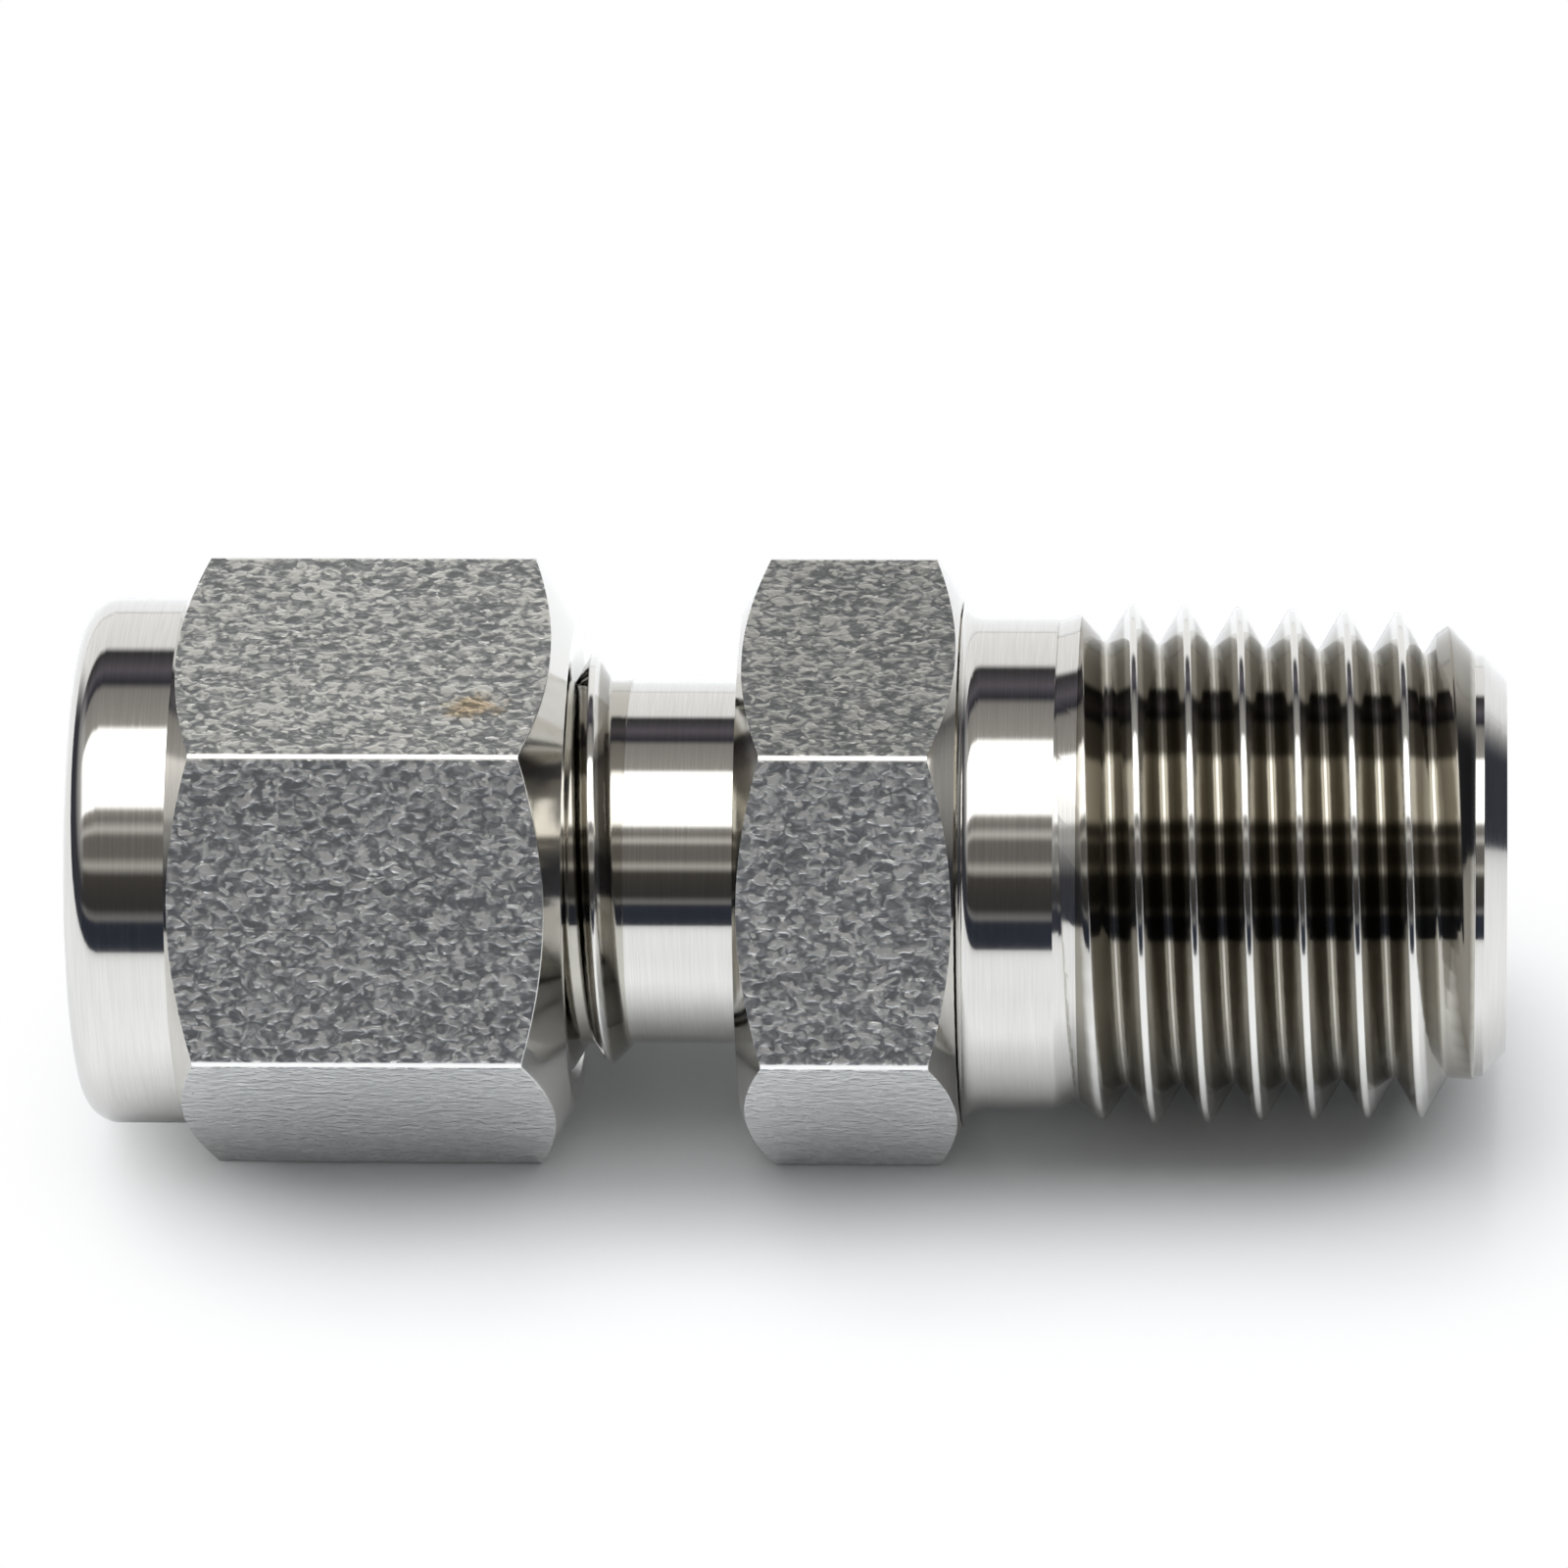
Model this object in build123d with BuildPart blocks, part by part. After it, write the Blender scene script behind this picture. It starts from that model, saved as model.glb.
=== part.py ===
from build123d import *
import os
from math import ceil, cos, floor, radians, sin, sqrt, tan

# Compression male connector: a two-ferrule tube fitting for quarter inch tube with a quarter inch tapered
# male pipe thread. All sizes are in millimetres. X runs along the axis, from the nut towards the pipe thread.
# The origin is on the axis at the tube stop, the shoulder that the tube's end meets. The fitting lies on a flat
# of its two hexagons, so +Z is up and the lowest face is half a wrench size below the origin.

# Tube and flow way
TUBE_DIAMETER = 6.35
TUBE_CLEARANCE = 0.05           # on the radius, the same in nut, ferrules and socket
TUBE_DEPTH = 15.2               # from the nut's outer face to the tube stop, nut finger-tight
FLOW_DIAMETER = 4.8

# Hexagon bar
WRENCH_SIZE = 14.2875           # 9/16 in across the flats
HEX_CORNER_RADIUS = 0.28

# Connector body, turned sizes
BODY_HEX_START = 2.4            # from the tube stop to the hexagon's near face
BODY_HEX_LENGTH = 5.84
BODY_CHAMFER_INSET = 0.19       # from the flats in to where the hexagon's chamfers start
HEX_CHAMFER_ANGLE = 30.0
LEFT_NECK_DIAMETER = 9.63
NOSE_LENGTH = 7.1               # from the tube stop to the nose's end, inside the nut
NOSE_THREAD_DIAMETER = 11.08    # 7/16-20, over the crests
NOSE_THREAD_DEPTH = 0.7
NOSE_THREAD_END = 1.3           # from the tube stop back to the last full crest
NOSE_RUNOUT = 0.72              # along the axis, from full crests down to the left neck
NOSE_LEAD = 0.75                # chamfer at the nose's end, on the radius and along the axis
RIGHT_NECK_DIAMETER = 13.05
NECK_FILLET = 0.5
RIGHT_NECK_LENGTH = 2.5         # from the hexagon to the first trace of the thread
SEAT_ANGLE = 20.0               # between the seat cone and the axis
SEAT_MOUTH_DIAMETER = 8.2

# Thread form, shared by all threads
FLANK_ANGLE = 30.0              # between a flank and the plane square to the axis
THREAD_STEP = 0.03              # on the radius, where a thread starts or ends beside a plain diameter
THREAD_SIDES = 48               # flat facets to a turn
THREAD_SNAP = 0.004             # a corner nearer than this to a station's plane gives way to it

# Nose and nut thread, right-handed
NOSE_PITCH = 25.4 / 20
NOSE_CREST_FLAT = 0.16
NOSE_CREST_TURN = 164.0         # degrees from +Y towards +Z at which a crest crosses the tube stop's plane

# Tapered pipe thread, quarter inch, 18 to the inch, right-handed
PIPE_PITCH = 25.4 / 18
PIPE_THREAD_DEPTH = 1.03
PIPE_CREST_FLAT = 0.14
PIPE_CREST_TURN = 63.5
PIPE_LENGTH = 14.36             # from the hexagon to the end face
PIPE_TAPER = 1.0 / 16.0         # on the diameter
PIPE_SMALL_DIAMETER = 13.255    # over the crests, at the end face
PIPE_ROOT_RUNOUT = 1.25         # from the neck to full depth
PIPE_CREST_RUNOUT = 1.9         # from the neck to full crests
TIP_INSET = 1.03                # on the radius, from the crests' line at the end face in to the plain tip
TIP_LENGTH = 0.83               # plain tip past the thread's start chamfer
TIP_CHAMFER_LENGTH = 0.6
TIP_CHAMFER_DEPTH = 0.65
FLOW_MOUTH_CHAMFER = 0.25

# Nut
NUT_LENGTH = 13.1
COLLAR_INSET = 0.14             # from the flats in to the collar
COLLAR_LENGTH = 2.72
COLLAR_EDGE_RADIUS = 0.9
NUT_CHAMFER_INSET = 0.74        # from the flats in to where the inner end's chamfer starts
NUT_MOUTH_CHAMFER = 0.3
NUT_CREST_CLEARANCE = 0.06      # on the radius, over the nose thread's crests
NUT_ROOT_CLEARANCE = 0.09       # on the radius, over the nose thread's roots
NUT_FLANK_CLEARANCE = 0.1       # along the axis, on each flank
NUT_THREAD_LENGTH = 5.5
NUT_RUNOUT = 0.7                # along the axis, at the thread's inner end
NUT_RELIEF_LENGTH = 1.6         # plain bore past the thread, room for the nose as the nut is pulled up
FERRULE_CAVITY_CLEARANCE = 0.1  # on the radius, round the front ferrule

# Ferrules
FRONT_DIAMETER = 8.9
FRONT_TIP_DIAMETER = 6.9
FRONT_REAR_LENGTH = 1.7         # cylinder behind the cone
FRONT_RECESS_DIAMETER = 8.0
BACK_FLANGE_DIAMETER = 8.7
BACK_FLANGE_LENGTH = 0.6
BACK_BEVEL = 0.7                # 45 degrees, on the flange's back corner
BACK_NOSE_DIAMETER = 7.5
BACK_TIP_DIAMETER = 6.8
BACK_NOSE_LENGTH = 1.3
SEAT_GAP = 0.05                 # square to the cones, between pieces that move apart
FERRULE_GAP = 0.03              # between the two ferrules

# Places that follow from the sizes
TUBE_BORE = TUBE_DIAMETER / 2 + TUBE_CLEARANCE
BODY_HEX_END = BODY_HEX_START + BODY_HEX_LENGTH
PIPE_END = BODY_HEX_END + PIPE_LENGTH
PIPE_THREAD_START = BODY_HEX_END + RIGHT_NECK_LENGTH
NOSE_END = -NOSE_LENGTH
NUT_FACE = -TUBE_DEPTH
NUT_END = NUT_FACE + NUT_LENGTH
SEAT_SLOPE = tan(radians(SEAT_ANGLE))
HEX_CORNER = WRENCH_SIZE / sqrt(3)
HEX_FLAT = WRENCH_SIZE / 2

# The front ferrule's cone lies one gap inside the body's seat cone
seat_mouth = SEAT_MOUTH_DIAMETER / 2
seat_gap_radial = SEAT_GAP / cos(radians(SEAT_ANGLE))
FRONT_TIP = NOSE_END + (seat_mouth - seat_gap_radial - FRONT_TIP_DIAMETER / 2) / SEAT_SLOPE
FRONT_SHOULDER = NOSE_END + (seat_mouth - seat_gap_radial - FRONT_DIAMETER / 2) / SEAT_SLOPE
FRONT_REAR = FRONT_SHOULDER - FRONT_REAR_LENGTH

# The back ferrule's nose meets the front ferrule's 45 degree recess
recess_gap = FERRULE_GAP * sqrt(2)
BACK_NOSE_CORNER = FRONT_REAR + (FRONT_RECESS_DIAMETER - BACK_NOSE_DIAMETER) / 2 - recess_gap
BACK_TIP = BACK_NOSE_CORNER + (BACK_NOSE_DIAMETER - BACK_TIP_DIAMETER) / 2
BACK_FLANGE_FRONT = BACK_TIP - BACK_NOSE_LENGTH
BACK_REAR = BACK_FLANGE_FRONT - BACK_FLANGE_LENGTH - BACK_BEVEL

# The nut's 45 degree seat lies one gap behind the back ferrule's bevel
NUT_CAVITY = FRONT_DIAMETER / 2 + FERRULE_CAVITY_CLEARANCE
bevel_inner = BACK_FLANGE_DIAMETER / 2 - BACK_BEVEL
NUT_SEAT_INNER = BACK_REAR - (bevel_inner - TUBE_BORE) - SEAT_GAP * sqrt(2)
NUT_SEAT_OUTER = NUT_SEAT_INNER + NUT_CAVITY - TUBE_BORE

# Thread radii
NOSE_CREST = NOSE_THREAD_DIAMETER / 2
NOSE_ROOT = NOSE_CREST - NOSE_THREAD_DEPTH
NUT_MAJOR = NOSE_CREST + NUT_CREST_CLEARANCE
NUT_MINOR = NOSE_ROOT + NUT_ROOT_CLEARANCE
FLANK_SLOPE = tan(radians(FLANK_ANGLE))


def pipe_crest(x):
    """Radius over the pipe thread's crests at x."""
    return PIPE_SMALL_DIAMETER / 2 + (PIPE_END - x) * PIPE_TAPER / 2


def thread(stations, pitch, crest_flat, flank_width, crest_turn):
    """Right-hand thread of flat facets through stations of (x, crest radius, root radius), with a flat end at each end."""
    corners = (-crest_flat / 2 - flank_width, -crest_flat / 2, crest_flat / 2, crest_flat / 2 + flank_width)
    slabs = list(zip(stations, stations[1:]))

    def spot(x, angle, slab):
        (near, crest_near, root_near), (far, crest_far, root_far) = slab
        lag = x - (angle - crest_turn) / 360 * pitch
        off_crest = abs(lag - round(lag / pitch) * pitch)
        fall = min(max((off_crest - crest_flat / 2) / flank_width, 0), 1)
        share = (x - near) / (far - near)
        crest = crest_near + (crest_far - crest_near) * share
        root = root_near + (root_far - root_near) * share
        radius = crest + (root - crest) * fall
        return x, radius * cos(radians(angle)), radius * sin(radians(angle))

    def column(index, slab):
        """Corners of the profile along one line of the slab, each with a key that its neighbour's corner shares."""
        lap, place = divmod(index, THREAD_SIDES)
        angle = 360 * place / THREAD_SIDES
        first_crest = (angle - crest_turn) / 360 * pitch
        near, far = slab[0][0], slab[1][0]
        spots = [("near", spot(near, angle, slab))]
        for turn in range(floor((near - first_crest) / pitch) - 1, ceil((far - first_crest) / pitch) + 2):
            for number, corner in enumerate(corners):
                x = first_crest + turn * pitch + corner
                if near + THREAD_SNAP < x < far - THREAD_SNAP:
                    spots.append(((turn - lap, number), spot(x, angle, slab)))
        spots.append(("far", spot(far, angle, slab)))
        return spots

    facets = []
    for slab in slabs:
        columns = [column(index, slab) for index in range(THREAD_SIDES + 1)]
        for left, right in zip(columns, columns[1:]):
            left_keys = [key for key, _ in left]
            i = j = 0
            while i < len(left) - 1 or j < len(right) - 1:
                here, beside = left[i][1], right[j][1]
                if i < len(left) - 1 and j < len(right) - 1 and left[i + 1][0] == right[j + 1][0]:
                    facets.append((here, beside, right[j + 1][1]))
                    facets.append((here, right[j + 1][1], left[i + 1][1]))
                    i, j = i + 1, j + 1
                elif right[min(j + 1, len(right) - 1)][0] not in left_keys:
                    facets.append((here, beside, right[j + 1][1]))
                    j += 1
                else:
                    facets.append((here, beside, left[i + 1][1]))
                    i += 1
    facets.append([column(index, slabs[0])[0][1] for index in range(THREAD_SIDES)])
    facets.append([column(index, slabs[-1])[-1][1] for index in range(THREAD_SIDES)])
    return Solid(Shell([Face(Wire.make_polygon(facet, close=True)) for facet in facets]))


def hex_section(plane):
    """Hexagon bar's section, with a corner towards the viewer and flats above and below."""
    with BuildSketch(plane) as section:
        RegularPolygon(HEX_FLAT, 6, major_radius=False)
        fillet(section.vertices(), HEX_CORNER_RADIUS)
    return section.sketch


def chamfer_run(start_radius):
    """Length along the axis that a hexagon chamfer takes from start_radius out to the corners."""
    return (HEX_CORNER - start_radius) * tan(radians(HEX_CHAMFER_ANGLE))


# Connector body
with BuildPart() as body:
    extrude(hex_section(Plane.YZ.offset(BODY_HEX_START)), amount=BODY_HEX_LENGTH)
    with BuildSketch(Plane.XY):
        with BuildLine():
            chamfer_start = HEX_FLAT - BODY_CHAMFER_INSET
            run = chamfer_run(chamfer_start)
            Polyline(
                (BODY_HEX_START, 0),
                (BODY_HEX_START, chamfer_start),
                (BODY_HEX_START + run, HEX_CORNER),
                (BODY_HEX_END - run, HEX_CORNER),
                (BODY_HEX_END, chamfer_start),
                (BODY_HEX_END, 0),
                close=True,
            )
        make_face()
    revolve(axis=Axis.X, mode=Mode.INTERSECT)

    # left neck, and the threaded nose with its lead chamfer and runout
    left_neck = LEFT_NECK_DIAMETER / 2
    runout_end = NOSE_RUNOUT - NOSE_THREAD_END
    with BuildSketch(Plane.YZ.offset(runout_end)):
        Circle(left_neck)
    extrude(amount=BODY_HEX_START - runout_end)
    nose_lead = NOSE_CREST - NOSE_LEAD
    nose_stations = [
        (NOSE_END, nose_lead, nose_lead - THREAD_STEP),
        (NOSE_END + NOSE_LEAD, NOSE_CREST, NOSE_ROOT),
        (-NOSE_THREAD_END, NOSE_CREST, NOSE_ROOT),
        (runout_end, left_neck + 2 * THREAD_STEP, left_neck + THREAD_STEP),
    ]
    nose_flank = NOSE_THREAD_DEPTH * FLANK_SLOPE
    add(thread(nose_stations, NOSE_PITCH, NOSE_CREST_FLAT, nose_flank, NOSE_CREST_TURN))

    # right neck, with a fillet at the hexagon
    right_neck = RIGHT_NECK_DIAMETER / 2
    with BuildSketch(Plane.XY):
        with BuildLine():
            fillet_end = BODY_HEX_END + NECK_FILLET
            CenterArc((fillet_end, right_neck + NECK_FILLET), NECK_FILLET, 180, 90)
            Polyline(
                (fillet_end, right_neck),
                (PIPE_THREAD_START, right_neck),
                (PIPE_THREAD_START, 0),
                (BODY_HEX_END, 0),
                (BODY_HEX_END, right_neck + NECK_FILLET),
            )
        make_face()
    revolve(axis=Axis.X)

    # pipe thread: crests and roots run out at the neck, and a 45 degree chamfer leads in at the tip
    tip = PIPE_SMALL_DIAMETER / 2 - TIP_INSET
    tip_start = PIPE_END - TIP_LENGTH
    full_root = PIPE_THREAD_START + PIPE_ROOT_RUNOUT
    full_crest = PIPE_THREAD_START + PIPE_CREST_RUNOUT
    lead_in = tip_start - TIP_INSET
    crest_rise = (pipe_crest(full_crest) - right_neck) * PIPE_ROOT_RUNOUT / PIPE_CREST_RUNOUT
    pipe_stations = [
        (PIPE_THREAD_START, right_neck - THREAD_STEP, right_neck - 2 * THREAD_STEP),
        (full_root, right_neck + crest_rise, pipe_crest(full_root) - PIPE_THREAD_DEPTH),
        (full_crest, pipe_crest(full_crest), pipe_crest(full_crest) - PIPE_THREAD_DEPTH),
        (lead_in, pipe_crest(lead_in), pipe_crest(lead_in) - PIPE_THREAD_DEPTH),
        (tip_start, tip + 2 * THREAD_STEP, tip + THREAD_STEP),
    ]
    pipe_flank = PIPE_THREAD_DEPTH * FLANK_SLOPE
    add(thread(pipe_stations, PIPE_PITCH, PIPE_CREST_FLAT, pipe_flank, PIPE_CREST_TURN))

    # plain tip
    with BuildSketch(Plane.XY):
        with BuildLine():
            Polyline(
                (tip_start, 0),
                (tip_start, tip),
                (PIPE_END - TIP_CHAMFER_LENGTH, tip),
                (PIPE_END, tip - TIP_CHAMFER_DEPTH),
                (PIPE_END, 0),
                close=True,
            )
        make_face()
    revolve(axis=Axis.X)

    # seat cone, tube socket and flow way
    with BuildSketch(Plane.XY):
        with BuildLine():
            Polyline(
                (NOSE_END, 0),
                (NOSE_END, seat_mouth),
                (NOSE_END + (seat_mouth - TUBE_BORE) / SEAT_SLOPE, TUBE_BORE),
                (0, TUBE_BORE),
                (0, FLOW_DIAMETER / 2),
                (PIPE_END - FLOW_MOUTH_CHAMFER, FLOW_DIAMETER / 2),
                (PIPE_END, FLOW_DIAMETER / 2 + FLOW_MOUTH_CHAMFER),
                (PIPE_END, 0),
                close=True,
            )
        make_face()
    revolve(axis=Axis.X, mode=Mode.SUBTRACT)

# Threaded core that the nut's thread is cut with, from the relief to a 45 degree mouth
with BuildPart() as nut_tap:
    thread_start = NUT_END - NUT_THREAD_LENGTH
    mouth = NUT_MAJOR + NUT_MOUTH_CHAMFER
    crest_flat = NOSE_CREST_FLAT + 2 * (NUT_FLANK_CLEARANCE - NUT_CREST_CLEARANCE * FLANK_SLOPE)
    nut_stations = [
        (thread_start, NUT_MINOR + THREAD_STEP, NUT_MINOR),
        (thread_start + NUT_RUNOUT, NUT_MAJOR, NUT_MINOR),
        (NUT_END - (mouth - NUT_MINOR), NUT_MAJOR, NUT_MINOR),
        (NUT_END - NUT_MOUTH_CHAMFER, NUT_MAJOR + THREAD_STEP, NUT_MAJOR),
        (NUT_END + NUT_MOUTH_CHAMFER, mouth + NUT_MOUTH_CHAMFER, mouth + NUT_MOUTH_CHAMFER - THREAD_STEP),
    ]
    nut_flank = (NUT_MAJOR - NUT_MINOR) * FLANK_SLOPE
    add(thread(nut_stations, NOSE_PITCH, crest_flat, nut_flank, NOSE_CREST_TURN))

# Nut
with BuildPart() as nut:
    extrude(hex_section(Plane.YZ.offset(NUT_FACE)), amount=NUT_LENGTH)
    with BuildSketch(Plane.XY):
        with BuildLine():
            collar = HEX_FLAT - COLLAR_INSET
            chamfer_start = HEX_FLAT - NUT_CHAMFER_INSET
            edge = COLLAR_EDGE_RADIUS
            collar_end = NUT_FACE + COLLAR_LENGTH
            Line((NUT_FACE, 0), (NUT_FACE, collar - edge))
            CenterArc((NUT_FACE + edge, collar - edge), edge, 90, 90)
            Polyline(
                (NUT_FACE + edge, collar),
                (collar_end, collar),
                (collar_end + chamfer_run(collar), HEX_CORNER),
                (NUT_END - chamfer_run(chamfer_start), HEX_CORNER),
                (NUT_END, chamfer_start),
                (NUT_END, 0),
                (NUT_FACE, 0),
            )
        make_face()
    revolve(axis=Axis.X, mode=Mode.INTERSECT)

    # tube bore, ferrule seat, ferrule cavity and relief
    thread_start = NUT_END - NUT_THREAD_LENGTH
    with BuildSketch(Plane.XY):
        with BuildLine():
            relief_start = thread_start - NUT_RELIEF_LENGTH
            relief = NUT_MINOR + THREAD_STEP * 2
            Polyline(
                (NUT_FACE, 0),
                (NUT_FACE, TUBE_BORE + NUT_MOUTH_CHAMFER),
                (NUT_FACE + NUT_MOUTH_CHAMFER, TUBE_BORE),
                (NUT_SEAT_INNER, TUBE_BORE),
                (NUT_SEAT_OUTER, NUT_CAVITY),
                (relief_start, NUT_CAVITY),
                (relief_start, relief),
                (thread_start, relief),
                (thread_start, 0),
                close=True,
            )
        make_face()
    revolve(axis=Axis.X, mode=Mode.SUBTRACT)
    add(nut_tap.part, mode=Mode.SUBTRACT)

# Front ferrule
with BuildPart() as front_ferrule:
    with BuildSketch(Plane.XY):
        with BuildLine():
            recess_depth = FRONT_RECESS_DIAMETER / 2 - TUBE_BORE
            Polyline(
                (FRONT_REAR + recess_depth, TUBE_BORE),
                (FRONT_REAR, FRONT_RECESS_DIAMETER / 2),
                (FRONT_REAR, FRONT_DIAMETER / 2),
                (FRONT_SHOULDER, FRONT_DIAMETER / 2),
                (FRONT_TIP, FRONT_TIP_DIAMETER / 2),
                (FRONT_TIP, TUBE_BORE),
                close=True,
            )
        make_face()
    revolve(axis=Axis.X)

# Back ferrule
with BuildPart() as back_ferrule:
    with BuildSketch(Plane.XY):
        with BuildLine():
            flange = BACK_FLANGE_DIAMETER / 2
            Polyline(
                (BACK_REAR, TUBE_BORE),
                (BACK_REAR, flange - BACK_BEVEL),
                (BACK_REAR + BACK_BEVEL, flange),
                (BACK_FLANGE_FRONT, flange),
                (BACK_FLANGE_FRONT, BACK_NOSE_DIAMETER / 2),
                (BACK_NOSE_CORNER, BACK_NOSE_DIAMETER / 2),
                (BACK_TIP, BACK_TIP_DIAMETER / 2),
                (BACK_TIP, TUBE_BORE),
                close=True,
            )
        make_face()
    revolve(axis=Axis.X)

body.part.label = "body"
nut.part.label = "nut"
front_ferrule.part.label = "front_ferrule"
back_ferrule.part.label = "back_ferrule"

os.makedirs("parts", exist_ok=True)
export_step(body.part, "parts/body.step")
export_step(nut.part, "parts/nut.step")
export_step(front_ferrule.part, "parts/front_ferrule.step")
export_step(back_ferrule.part, "parts/back_ferrule.step")
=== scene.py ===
import math
from collections import namedtuple

import bpy
from mathutils import Matrix, Vector


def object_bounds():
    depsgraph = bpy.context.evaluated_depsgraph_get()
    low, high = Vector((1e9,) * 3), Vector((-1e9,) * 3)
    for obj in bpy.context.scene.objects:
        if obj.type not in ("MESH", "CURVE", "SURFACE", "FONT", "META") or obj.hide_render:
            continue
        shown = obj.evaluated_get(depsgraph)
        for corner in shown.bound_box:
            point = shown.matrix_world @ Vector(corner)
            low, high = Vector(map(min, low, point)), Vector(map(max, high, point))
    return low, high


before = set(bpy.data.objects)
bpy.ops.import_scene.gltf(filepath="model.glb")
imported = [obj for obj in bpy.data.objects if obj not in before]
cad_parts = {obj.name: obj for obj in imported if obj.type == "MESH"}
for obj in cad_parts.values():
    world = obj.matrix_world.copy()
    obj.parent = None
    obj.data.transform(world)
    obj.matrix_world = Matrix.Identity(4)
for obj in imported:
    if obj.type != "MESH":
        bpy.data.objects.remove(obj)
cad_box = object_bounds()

# Places along the axis and radii, in millimetres, within 0.02 mm of those in the part's source
HEX_APOTHEM = 7.144
PIPE_START = 10.74
PIPE_RUNIN = 0.6                # from the neck to where the pipe thread's own look starts
PIPE_END = 22.6
TIP_LENGTH = 0.84               # plain tip past the pipe thread
PIPE_SMALL_RADIUS = 6.6275
PIPE_TAPER = 1 / 32
PIPE_DEPTH = 1.03
PIPE_INSIDE = 5.0               # nothing of the pipe thread lies nearer to the axis
NOSE_START = -7.1
NOSE_RUNOUT = -0.6
NOSE_CREST_RADIUS = 5.54
NOSE_DEPTH = 0.7
NOSE_INSIDE = 4.5

# The bar's own surface lies further out than every turned diameter, and the flats end at the rounded corners
TURNED_LIMIT = 7.06
BAR_LIMIT = 7.12
CORNER_DROP = 0.012
FLAT_DROP = 0.004

# Drawn grain of the hexagon flats: scales in features to the millimetre, relief in metres, colours by tone
GRAIN_SCALE = 4.7
GRAIN_TWIST = 0.7
GRAIN_SHARE = 0.92
GRAIN_STRETCH = (0.7, 1, 1)
GRAIN_RELIEF = 0.00006
PATCH_SCALE = 0.9
FLECK_SCALE = 4.6
FLAT_ROUGHNESS = 0.36
PATCH_ROUGHNESS = 0.12
FLAT_COLOURS = [
    (0.38, (0.30, 0.31, 0.325)),
    (0.47, (0.41, 0.42, 0.435)),
    (0.53, (0.58, 0.585, 0.59)),
    (0.61, (0.86, 0.855, 0.84)),
]
FLECK_COLOUR = (0.92, 0.91, 0.89)
# Flats that face down: the lighter colour mixed in by this share is painted light, and their lower roughness
# is real
LOW_PAINTED_LIGHT_COLOUR = (0.90, 0.90, 0.885)
LOW_PAINTED_LIGHT_SHARE = 0.78
LOW_ROUGHNESS = 0.19
CORNER_COLOUR = (0.93, 0.92, 0.90)
CORNER_ROUGHNESS = 0.34

# Turning marks, which run round the axis: scales in features to the millimetre, relief in metres
TURNED_STRETCH = (1, 0.02, 0.02)
TURNED_SCALE = 26
TURNED_ROUGHNESS = 0.05
TURNED_RELIEF = 0.000005
TURNED_COLOURS = [
    (0.3, (0.66, 0.645, 0.615)),
    (0.7, (0.75, 0.735, 0.705)),
]
FERRULE_SCALE = 30
FERRULE_ROUGHNESS = 0.14
FERRULE_RELIEF = 0.000008
FERRULE_COLOURS = [
    (0.3, (0.64, 0.63, 0.60)),
    (0.7, (0.76, 0.75, 0.72)),
]

# Thread colours, from the crests (0) down to the roots (1): painted shade darkens the flanks, less so at the
# root flat
THREAD_COLOURS_WITH_PAINTED_SHADE = [
    (0.00, (0.80, 0.79, 0.76)),
    (0.22, (0.72, 0.71, 0.68)),
    (0.34, (0.30, 0.28, 0.24)),
    (0.84, (0.20, 0.185, 0.155)),
    (0.96, (0.50, 0.48, 0.43)),
]

# Rounding of the edges in the shading, in metres
CREST_ROUNDING = 0.00011
EDGE_ROUNDING = 0.00005

# Marks on the flats, in millimetres; heights run up the middle flat from its centre line, and pairs go
# from a mark's full strength to where it ends
STAIN_PLACE = (-4.5, -2.1, HEX_APOTHEM)
STAIN_STRETCH = (0.75, 1.25, 1)
STAIN_EDGE = (-0.45, 0.25)
STAIN_RAGGED_SCALE = 2.6
STAIN_RAGGED_DEPTH = 1.3
STAIN_STRENGTH = 0.85
STAIN_TINT = (1.06, 0.84, 0.58)
MARKED_FRONT = (-5.4, -5.2)
LINE_HEIGHT = -0.5
LINE_HALF_WIDTH = (0.0, 0.05)
LINE_STRENGTH = 0.5
LINE_COLOUR = (0.22, 0.22, 0.23)
SCRATCH_X = 6.15
SCRATCH_HEIGHT = -2.0
SCRATCH_LEAN = 29
SCRATCH_HALF_WIDTH = (0.02, 0.07)
SCRATCH_HALF_LENGTH = (0.55, 0.72)
SCRATCH_COLOUR = (0.97, 0.96, 0.94)

# Studio light as bands that run along the object's axis, by angle in degrees from the front horizon (0)
# over the top (90) to the back horizon (180)
BANDS = [
    (0, (0.03, 0.035, 0.05)),
    (13, (0.03, 0.035, 0.05)),
    (15, (0.22, 0.22, 0.22)),
    (19, (0.04, 0.04, 0.04)),
    (34, (0.06, 0.055, 0.05)),
    (38, (0.50, 0.49, 0.46)),
    (42, (0.16, 0.15, 0.14)),
    (51, (0.16, 0.15, 0.14)),
    (54, (0.62, 0.61, 0.58)),
    (58, (0.20, 0.19, 0.18)),
    (62, (0.30, 0.29, 0.27)),
    (66, (2.5, 2.5, 2.48)),
    (98, (2.5, 2.5, 2.48)),
    (102, (0.36, 0.35, 0.33)),
    (121, (0.27, 0.26, 0.25)),
    (125, (0.03, 0.03, 0.04)),
    (133, (0.12, 0.11, 0.13)),
    (145, (0.03, 0.03, 0.03)),
    (149, (0.95, 0.95, 0.96)),
    (180, (1.0, 1.0, 1.0)),
]

# Side walls of the studio, by elevation in radians, and how far a direction turns to the side to meet them
WALLS = [
    (0.00, (0.04, 0.045, 0.06)),
    (0.30, (0.05, 0.05, 0.06)),
    (0.55, (0.45, 0.45, 0.45)),
    (0.80, (0.70, 0.70, 0.70)),
]
WALL_NEAR = 0.60
WALL_FULL = 0.85

# Lamp, in metres, with its angle in degrees from the front horizon over the top
LAMP_ANGLE = 112
LAMP_DISTANCE = 0.35
LAMP_OFFSET = -0.08
LAMP_LENGTH = 0.30
LAMP_WIDTH = 0.14
LAMP_ENERGY = 0.6

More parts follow.
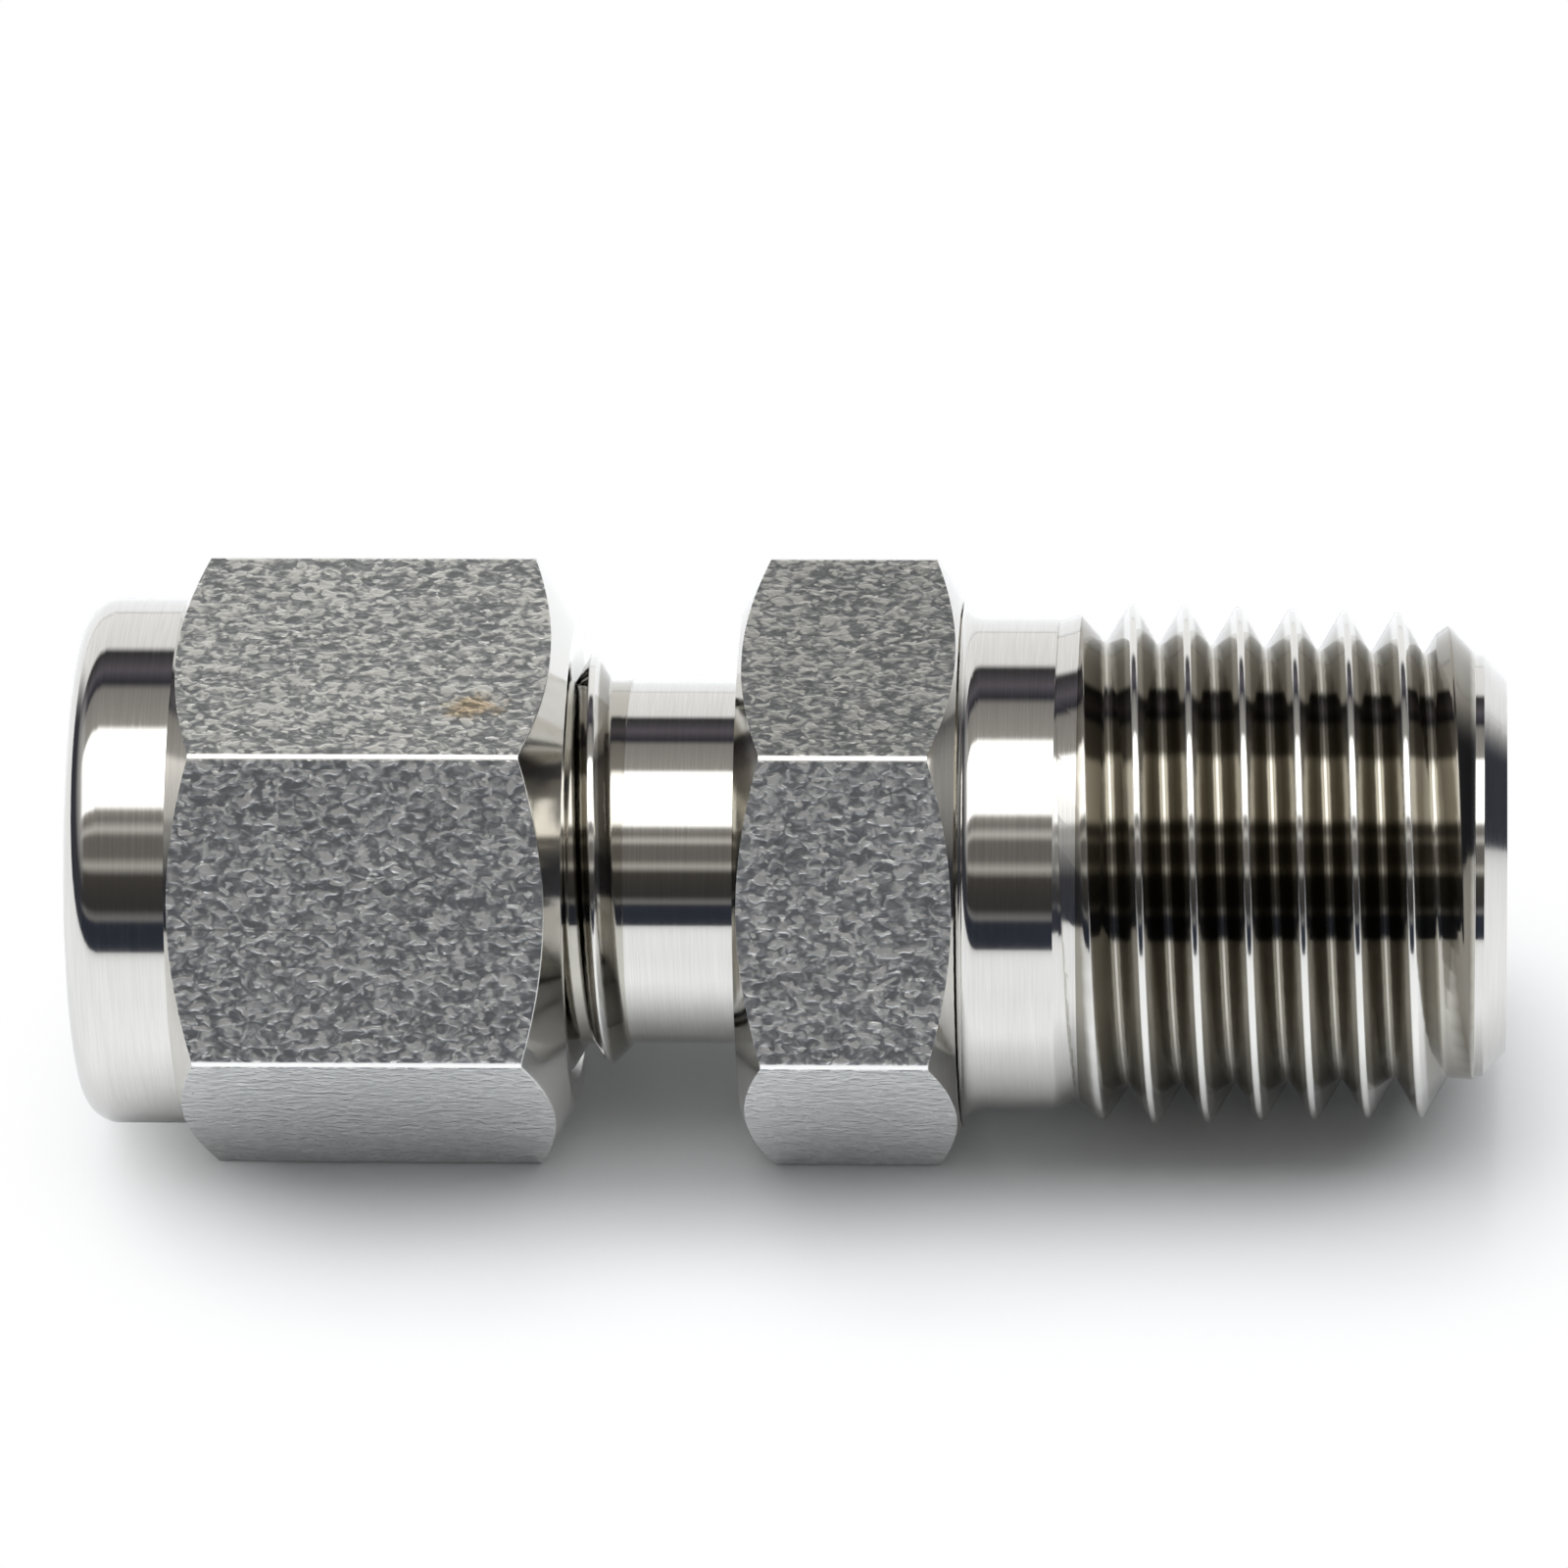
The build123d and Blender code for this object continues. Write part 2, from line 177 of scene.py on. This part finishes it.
# Floor, in metres: paper in its own colour close to a strip under the object, plain white further away
FLOOR_SIDE = 2.0
PAPER_COLOUR = (0.91, 0.93, 0.955, 1)
PAPER_ROUGHNESS = 0.5
STRIP_CENTRE = 0.0055
STRIP_HALF_LENGTH = 0.0125
STRIP_FORWARD = 0.002
PAPER_REACH = 0.003
WHITE_REACH = 0.012

# Camera: angles in degrees, distances in metres, focal length and sensor in millimetres
VIEW_ELEVATION = 40.2
VIEW_YAW = 4.0
VIEW_TILT = -0.2
VIEW_DISTANCE = 0.310
VIEW_LENS = 267.0
VIEW_SENSOR = 36.0
VIEW_CENTRE_X = 0.0034
VIEW_CENTRE_UP = 0.0021

Place = namedtuple("Place", "vector x y z")


class Graph:
    """Adds nodes to a node tree and links them."""

    def __init__(self, tree):
        self.tree = tree
        tree.nodes.clear()

    def node(self, kind, values=None, **settings):
        made = self.tree.nodes.new(kind)
        for key, value in settings.items():
            setattr(made, key, value)
        for key, value in (values or {}).items():
            self.put(made.inputs[key], value)
        return made

    def put(self, socket, value):
        if isinstance(value, bpy.types.NodeSocket):
            self.tree.links.new(value, socket)
        else:
            socket.default_value = value

    def math(self, operation, *values, clamp=False):
        made = self.tree.nodes.new("ShaderNodeMath")
        made.operation = operation
        made.use_clamp = clamp
        for socket, value in zip(made.inputs, values):
            self.put(socket, value)
        return made.outputs[0]

    def add(self, first, second):
        return self.math("ADD", first, second)

    def subtract(self, first, second):
        return self.math("SUBTRACT", first, second)

    def divide(self, first, second):
        return self.math("DIVIDE", first, second)

    def multiply(self, product, *factors):
        for factor in factors:
            product = self.math("MULTIPLY", product, factor)
        return product

    def size(self, value):
        return self.math("ABSOLUTE", value)

    def distance(self, first, second):
        """Length of the vector that has these two parts."""
        return self.math("SQRT", self.add(self.multiply(first, first), self.multiply(second, second)))

    def smooth(self, value, low, high, to_low=0.0, to_high=1.0):
        made = self.node("ShaderNodeMapRange", interpolation_type="SMOOTHSTEP")
        for key, item in (("Value", value), ("From Min", low), ("From Max", high),
                          ("To Min", to_low), ("To Max", to_high)):
            self.put(made.inputs[key], item)
        return made.outputs["Result"]

    def ramp(self, value, stops):
        made = self.tree.nodes.new("ShaderNodeValToRGB")
        ramp = made.color_ramp
        while len(ramp.elements) < len(stops):
            ramp.elements.new(0.5)
        for element, (position, colour) in zip(ramp.elements, stops):
            element.position = position
            element.color = (*colour, 1)
        self.put(made.inputs["Fac"], value)
        return made.outputs["Color"]

    def mix(self, factor, low, high, blend="MIX"):
        made = self.node("ShaderNodeMix", data_type="RGBA", blend_type=blend)
        self.put(made.inputs["Factor"], factor)
        self.put(made.inputs["A"], low if isinstance(low, bpy.types.NodeSocket) else (*low, 1))
        self.put(made.inputs["B"], high if isinstance(high, bpy.types.NodeSocket) else (*high, 1))
        return made.outputs["Result"]

    def tinted(self, colour, tint):
        return self.mix(1.0, colour, tint, "MULTIPLY")

    def mix_value(self, factor, low, high):
        made = self.node("ShaderNodeMix", data_type="FLOAT")
        self.put(made.inputs["Factor"], factor)
        self.put(made.inputs["A"], low)
        self.put(made.inputs["B"], high)
        return made.outputs["Result"]

    def mix_vector(self, factor, low, high):
        # the fifth and sixth inputs are the vector ones
        made = self.node("ShaderNodeMix", data_type="VECTOR")
        self.put(made.inputs["Factor"], factor)
        self.put(made.inputs[4], low)
        self.put(made.inputs[5], high)
        return made.outputs[1]

    def mix_shader(self, factor, low, high):
        made = self.node("ShaderNodeMixShader", {0: factor})
        self.put(made.inputs[1], low.outputs[0])
        self.put(made.inputs[2], high.outputs[0])
        return made.outputs[0]

    def noise(self, vector, scale, detail=2.0, roughness=0.5, distortion=0.0):
        made = self.node("ShaderNodeTexNoise", {"Vector": vector, "Scale": scale, "Detail": detail,
                                                "Roughness": roughness, "Distortion": distortion})
        return made.outputs["Fac"]

    def stretched(self, vector, scale):
        made = self.node("ShaderNodeVectorMath", {0: vector, 1: scale}, operation="MULTIPLY")
        return made.outputs["Vector"]

    def parts(self, vector):
        return self.node("ShaderNodeSeparateXYZ", {0: vector}).outputs

    def normal_between(self, vector, source, target):
        made = self.node("ShaderNodeVectorTransform", {0: vector}, vector_type="NORMAL",
                         convert_from=source, convert_to=target)
        return made.outputs[0]

    def rounded(self, radius, samples):
        return self.node("ShaderNodeBevel", {"Radius": radius}, samples=samples).outputs["Normal"]

    def bump(self, height, strength, distance, normal=None):
        made = self.node("ShaderNodeBump", {"Height": height, "Strength": strength, "Distance": distance})
        if normal is not None:
            self.put(made.inputs["Normal"], normal)
        return made.outputs["Normal"]


def new_material(name):
    material = bpy.data.materials.new(name)
    material.use_nodes = True
    return material, Graph(material.node_tree)


def metal(graph, colour, roughness, normal):
    """Ends a material's graph with a metal shader."""
    shader = graph.node("ShaderNodeBsdfPrincipled", {
        "Base Color": colour,
        "Metallic": 1.0,
        "Roughness": roughness,
        "Normal": normal,
    })
    graph.node("ShaderNodeOutputMaterial", {"Surface": shader.outputs["BSDF"]})


def millimetres(graph):
    """Object coordinates in millimetres, whole and split."""
    vector = graph.stretched(graph.node("ShaderNodeTexCoord").outputs["Object"], (1000, 1000, 1000))
    split = graph.parts(vector)
    return Place(vector, split["X"], split["Y"], split["Z"])


def turned_normal(graph, own_normal, axial, radius, place):
    """Normal of a surface turned about the X axis, smooth where the mesh has flat facets round it."""
    round_y = graph.divide(place.y, radius)
    round_z = graph.divide(place.z, radius)
    split = graph.parts(own_normal)
    outward = graph.add(graph.multiply(split["Y"], round_y), graph.multiply(split["Z"], round_z))
    lift = graph.subtract(1.0, graph.multiply(axial, axial))
    lift = graph.math("SQRT", graph.math("MAXIMUM", lift, 0.0))
    lift = graph.multiply(lift, graph.math("SIGN", outward))
    joined = graph.node("ShaderNodeCombineXYZ", {
        0: axial, 1: graph.multiply(lift, round_y), 2: graph.multiply(lift, round_z)})
    turned = graph.normal_between(joined.outputs[0], "OBJECT", "WORLD")
    return graph.node("ShaderNodeVectorMath", {0: turned}, operation="NORMALIZE").outputs[0]


def bar_masks(graph, axial, radius, place):
    """Where the bar's own surface is, which runs along the axis, and where on it the flats are."""
    along = graph.smooth(graph.size(axial), 0.05, 0.10, 1.0, 0.0)
    bar = graph.multiply(along, graph.smooth(radius, TURNED_LIMIT, BAR_LIMIT))
    lean = graph.multiply(graph.size(place.y), math.cos(math.radians(30)))
    rise = graph.multiply(graph.size(place.z), math.sin(math.radians(30)))
    reach = graph.math("MAXIMUM", graph.size(place.z), graph.add(lean, rise))
    flat = graph.multiply(bar, graph.smooth(reach, HEX_APOTHEM - CORNER_DROP, HEX_APOTHEM - FLAT_DROP))
    return bar, flat


def flat_look(graph, top_painted_light_gain, marks_of, place):
    """Colour, roughness and grain height of the flats: speckled, and smoother where they face down; painted
    light scales the top flat's tone and makes the flats that face down lighter.
    """
    drawn = graph.stretched(place.vector, GRAIN_STRETCH)
    grain = graph.noise(drawn, GRAIN_SCALE, 1.6, 0.5, GRAIN_TWIST)
    patch = graph.noise(drawn, PATCH_SCALE)
    fleck = graph.noise(drawn, FLECK_SCALE, 1.0)
    tone = graph.add(graph.multiply(grain, GRAIN_SHARE), graph.multiply(patch, 1 - GRAIN_SHARE))
    colour = graph.ramp(tone, FLAT_COLOURS)
    colour = graph.mix(graph.smooth(fleck, 0.62, 0.68), colour, FLECK_COLOUR)
    # Painted light: the top flat's colour is scaled, lighter on the nut and darker on the body
    top = graph.smooth(place.z, HEX_APOTHEM - 0.1, HEX_APOTHEM - 0.05)
    colour = graph.mix(top, colour, graph.tinted(colour, (top_painted_light_gain, top_painted_light_gain, top_painted_light_gain * 0.95)))
    low = graph.smooth(place.z, -0.25, -0.10, 1.0, 0.0)
    # Painted light: the flats that face down are made lighter
    colour = graph.mix(graph.multiply(low, LOW_PAINTED_LIGHT_SHARE), colour, LOW_PAINTED_LIGHT_COLOUR)
    roughness = graph.add(graph.mix_value(low, FLAT_ROUGHNESS, LOW_ROUGHNESS),
                          graph.multiply(patch, PATCH_ROUGHNESS))
    return marks_of(graph, colour, place), roughness, grain


def thread_depth(graph, x, radius):
    """Where the two outer threads are, and how deep below their crests a point lies, from 0 to 1."""
    def between(low, high):
        return graph.multiply(graph.math("GREATER_THAN", x, low), graph.math("LESS_THAN", x, high))

    pipe = graph.multiply(between(PIPE_START + PIPE_RUNIN, PIPE_END - TIP_LENGTH),
                          graph.math("GREATER_THAN", radius, PIPE_INSIDE))
    nose = graph.multiply(between(NOSE_START, NOSE_RUNOUT), graph.math("GREATER_THAN", radius, NOSE_INSIDE))
    pipe_crest = graph.add(PIPE_SMALL_RADIUS, graph.multiply(graph.subtract(PIPE_END, x), PIPE_TAPER))
    pipe_depth = graph.divide(graph.subtract(pipe_crest, radius), PIPE_DEPTH)
    nose_depth = graph.divide(graph.subtract(NOSE_CREST_RADIUS, radius), NOSE_DEPTH)
    return graph.math("ADD", pipe, nose, clamp=True), graph.mix_value(pipe, nose_depth, pipe_depth)


def steel_bar(name, top_painted_light_gain, marks_of):
    """Drawn hexagon bar on the flats, burnished corners, polished turning everywhere else, with painted
    light on the flats and painted shade on the thread flanks.
    """
    material, graph = new_material(name)
    place = millimetres(graph)
    own_normal = graph.node("ShaderNodeTexCoord").outputs["Normal"]
    axial = graph.parts(own_normal)["X"]
    radius = graph.distance(place.y, place.z)
    bar, flat = bar_masks(graph, axial, radius, place)
    flat_colour, flat_rough, grain = flat_look(graph, top_painted_light_gain, marks_of, place)

    # turned faces, and threads with bright rounded crests over flanks darkened by painted shade
    marks = graph.noise(graph.stretched(place.vector, TURNED_STRETCH), TURNED_SCALE, 3.0, 0.6)
    threaded, depth = thread_depth(graph, place.x, radius)
    turned_colour = graph.mix(threaded, graph.ramp(marks, TURNED_COLOURS), graph.ramp(depth, THREAD_COLOURS_WITH_PAINTED_SHADE))
    turned_rough = graph.add(TURNED_ROUGHNESS, graph.multiply(marks, 0.06))

    # normals: the crests' rounding only leans along the axis, because facets run round it
    crest = graph.normal_between(graph.rounded(CREST_ROUNDING, 8), "WORLD", "OBJECT")
    crest_axial = graph.mix_value(threaded, axial, graph.parts(crest)["X"])
    turned = turned_normal(graph, own_normal, crest_axial, radius, place)
    normal = graph.mix_vector(bar, turned, graph.rounded(EDGE_ROUNDING, 6))
    normal = graph.bump(grain, graph.multiply(flat, 0.8), GRAIN_RELIEF, normal)
    normal = graph.bump(marks, graph.mix_value(bar, 0.08, 0.0), TURNED_RELIEF, normal)

    colour = graph.mix(bar, turned_colour, graph.mix(flat, CORNER_COLOUR, flat_colour))
    roughness = graph.mix_value(bar, turned_rough, graph.mix_value(flat, CORNER_ROUGHNESS, flat_rough))
    metal(graph, colour, roughness, normal)
    return material


def middle_flat(graph, place):
    """Height up the front middle flat from its centre line, and where the lower part of that flat is."""
    height = graph.add(graph.multiply(place.y, math.cos(math.radians(60))),
                       graph.multiply(place.z, math.sin(math.radians(60))))
    return height, graph.smooth(place.y, *MARKED_FRONT, 1.0, 0.0)


def nut_marks(graph, colour, place):
    """A brown stain near the top flat's end, and a drawn line along the middle flat."""
    from_stain = graph.node("ShaderNodeVectorMath", {0: place.vector, 1: STAIN_PLACE}, operation="SUBTRACT")
    spread = graph.stretched(from_stain.outputs["Vector"], STAIN_STRETCH)
    distance = graph.node("ShaderNodeVectorMath", {0: spread}, operation="LENGTH").outputs["Value"]
    ragged = graph.multiply(graph.noise(place.vector, STAIN_RAGGED_SCALE, 2.0, 0.6), STAIN_RAGGED_DEPTH)
    stain = graph.smooth(graph.subtract(distance, ragged), *STAIN_EDGE, STAIN_STRENGTH, 0.0)
    colour = graph.mix(stain, colour, graph.tinted(colour, STAIN_TINT))
    height, front = middle_flat(graph, place)
    from_line = graph.size(graph.subtract(height, LINE_HEIGHT))
    line = graph.smooth(from_line, *LINE_HALF_WIDTH, LINE_STRENGTH, 0.0)
    return graph.mix(graph.multiply(line, front), colour, LINE_COLOUR)


def body_marks(graph, colour, place):
    """A bright scratch across the body's middle flat."""
    height, front = middle_flat(graph, place)
    from_x = graph.subtract(place.x, SCRATCH_X)
    from_height = graph.subtract(height, SCRATCH_HEIGHT)
    lean_cos = math.cos(math.radians(SCRATCH_LEAN))
    lean_sin = math.sin(math.radians(SCRATCH_LEAN))
    across = graph.subtract(graph.multiply(from_height, lean_cos), graph.multiply(from_x, lean_sin))
    run = graph.add(graph.multiply(from_height, lean_sin), graph.multiply(from_x, lean_cos))
    line = graph.smooth(graph.size(across), *SCRATCH_HALF_WIDTH, 1.0, 0.0)
    length = graph.smooth(graph.size(run), *SCRATCH_HALF_LENGTH, 1.0, 0.0)
    return graph.mix(graph.multiply(line, length, front), colour, SCRATCH_COLOUR)


def steel_ferrule(name):
    """Fine turned rings, hidden in the nut."""
    material, graph = new_material(name)
    marks = graph.noise(graph.stretched(millimetres(graph).vector, TURNED_STRETCH), FERRULE_SCALE, 3.0, 0.6)
    roughness = graph.add(FERRULE_ROUGHNESS, graph.multiply(marks, 0.12))
    metal(graph, graph.ramp(marks, FERRULE_COLOURS), roughness, graph.bump(marks, 0.2, FERRULE_RELIEF))
    return material


def dress(names, look):
    """Puts one material on every slot of the named CAD nodes."""
    for name in names:
        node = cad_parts[name]
        if not node.material_slots:
            node.data.materials.append(look)
        for slot in node.material_slots:
            slot.material = look


def studio_world():
    """Bands of light overhead, walls at the sides, and plain white behind the object."""
    world = bpy.data.worlds.new("studio")
    bpy.context.scene.world = world
    world.use_nodes = True
    graph = Graph(world.node_tree)
    split = graph.parts(graph.node("ShaderNodeTexCoord").outputs["Generated"])
    above = graph.math("MAXIMUM", split["Z"], 0.0)
    angle = graph.math("ARCTAN2", above, graph.multiply(split["Y"], -1))
    share = graph.math("DIVIDE", angle, math.pi, clamp=True)
    bands = graph.ramp(share, [(degrees / 180, colour) for degrees, colour in BANDS])
    side = graph.smooth(graph.size(split["X"]), WALL_NEAR, WALL_FULL)
    surround = graph.mix(side, bands, graph.ramp(graph.math("ARCSINE", split["Z"]), WALLS))
    studio = graph.node("ShaderNodeBackground", {"Color": surround, "Strength": 1.0})
    plain = graph.node("ShaderNodeBackground", {"Color": (1, 1, 1, 1), "Strength": 1.0})
    seen = graph.node("ShaderNodeLightPath").outputs["Is Camera Ray"]
    graph.node("ShaderNodeOutputWorld", {"Surface": graph.mix_shader(seen, studio, plain)})


def softbox():
    """Soft lamp above and a little behind, which lays the shadow towards the front."""
    light = bpy.data.lights.new("softbox", "AREA")
    light.shape = "RECTANGLE"
    light.size = LAMP_LENGTH
    light.size_y = LAMP_WIDTH
    light.energy = LAMP_ENERGY
    lamp = bpy.data.objects.new("softbox", light)
    angle = math.radians(LAMP_ANGLE)
    lamp.location = (LAMP_OFFSET, -LAMP_DISTANCE * math.cos(angle), LAMP_DISTANCE * math.sin(angle))
    lamp.rotation_euler = (math.radians(90) - angle, 0, 0)
    lamp.visible_glossy = False
    bpy.context.scene.collection.objects.link(lamp)


def paper():
    """The floor's look: paper that takes the shadow, plain white to the camera away from the object."""
    material, graph = new_material("paper")
    split = graph.parts(graph.node("ShaderNodeTexCoord").outputs["Object"])
    from_centre = graph.size(graph.subtract(split["X"], STRIP_CENTRE))
    beyond = graph.math("MAXIMUM", graph.subtract(from_centre, STRIP_HALF_LENGTH), 0.0)
    away = graph.distance(beyond, graph.add(split["Y"], STRIP_FORWARD))
    far = graph.smooth(away, PAPER_REACH, WHITE_REACH)
    seen = graph.multiply(far, graph.node("ShaderNodeLightPath").outputs["Is Camera Ray"])
    sheet = graph.node("ShaderNodeBsdfDiffuse", {"Color": PAPER_COLOUR, "Roughness": PAPER_ROUGHNESS})
    white = graph.node("ShaderNodeEmission", {"Color": (1, 1, 1, 1), "Strength": 1.0})
    graph.node("ShaderNodeOutputMaterial", {"Surface": graph.mix_shader(seen, sheet, white)})
    return material


def paper_floor():
    """Square floor at the height that the part rests on."""
    corners = [(-FLOOR_SIDE, -FLOOR_SIDE, 0), (FLOOR_SIDE, -FLOOR_SIDE, 0),
               (FLOOR_SIDE, FLOOR_SIDE, 0), (-FLOOR_SIDE, FLOOR_SIDE, 0)]
    mesh = bpy.data.meshes.new("floor")
    mesh.from_pydata(corners, [], [(0, 1, 2, 3)])
    mesh.materials.append(paper())
    floor = bpy.data.objects.new("floor", mesh)
    floor.location = (0, 0, cad_box[0][2])
    bpy.context.scene.collection.objects.link(floor)


def main_camera():
    """Camera at the photograph's viewing angle, turned about its line of sight until the axis lies level."""
    yaw = math.radians(VIEW_YAW)
    elevation = math.radians(VIEW_ELEVATION)
    level = Vector((math.cos(yaw), math.sin(yaw), 0))
    back = Vector((math.sin(yaw) * math.cos(elevation), -math.cos(yaw) * math.cos(elevation),
                   math.sin(elevation)))
    rise = back.cross(level)
    roll = math.atan2(rise.x, level.x) - math.radians(VIEW_TILT)
    right = level * math.cos(roll) + rise * math.sin(roll)
    up = rise * math.cos(roll) - level * math.sin(roll)
    lens = bpy.data.cameras.new("camera")
    lens.lens = VIEW_LENS
    lens.sensor_width = VIEW_SENSOR
    lens.clip_start = 0.01
    lens.clip_end = 5.0
    camera = bpy.data.objects.new("camera", lens)
    place = Vector((VIEW_CENTRE_X, 0, 0)) + up * VIEW_CENTRE_UP + back * VIEW_DISTANCE
    camera.matrix_world = Matrix.Translation(place) @ Matrix((right, up, back)).transposed().to_4x4()
    bpy.context.scene.collection.objects.link(camera)
    bpy.context.scene.camera = camera


# The number after each material's name is painted light on the top flat: darker on the body, lighter on the
# nut
dress(["body"], steel_bar("body_steel_look", 0.84, body_marks))
dress(["nut"], steel_bar("nut_steel_look", 1.13, nut_marks))
dress(["front_ferrule", "back_ferrule"], steel_ferrule("ferrule_steel_look"))
studio_world()
softbox()
paper_floor()
main_camera()
bpy.context.scene.view_settings.view_transform = "Standard"
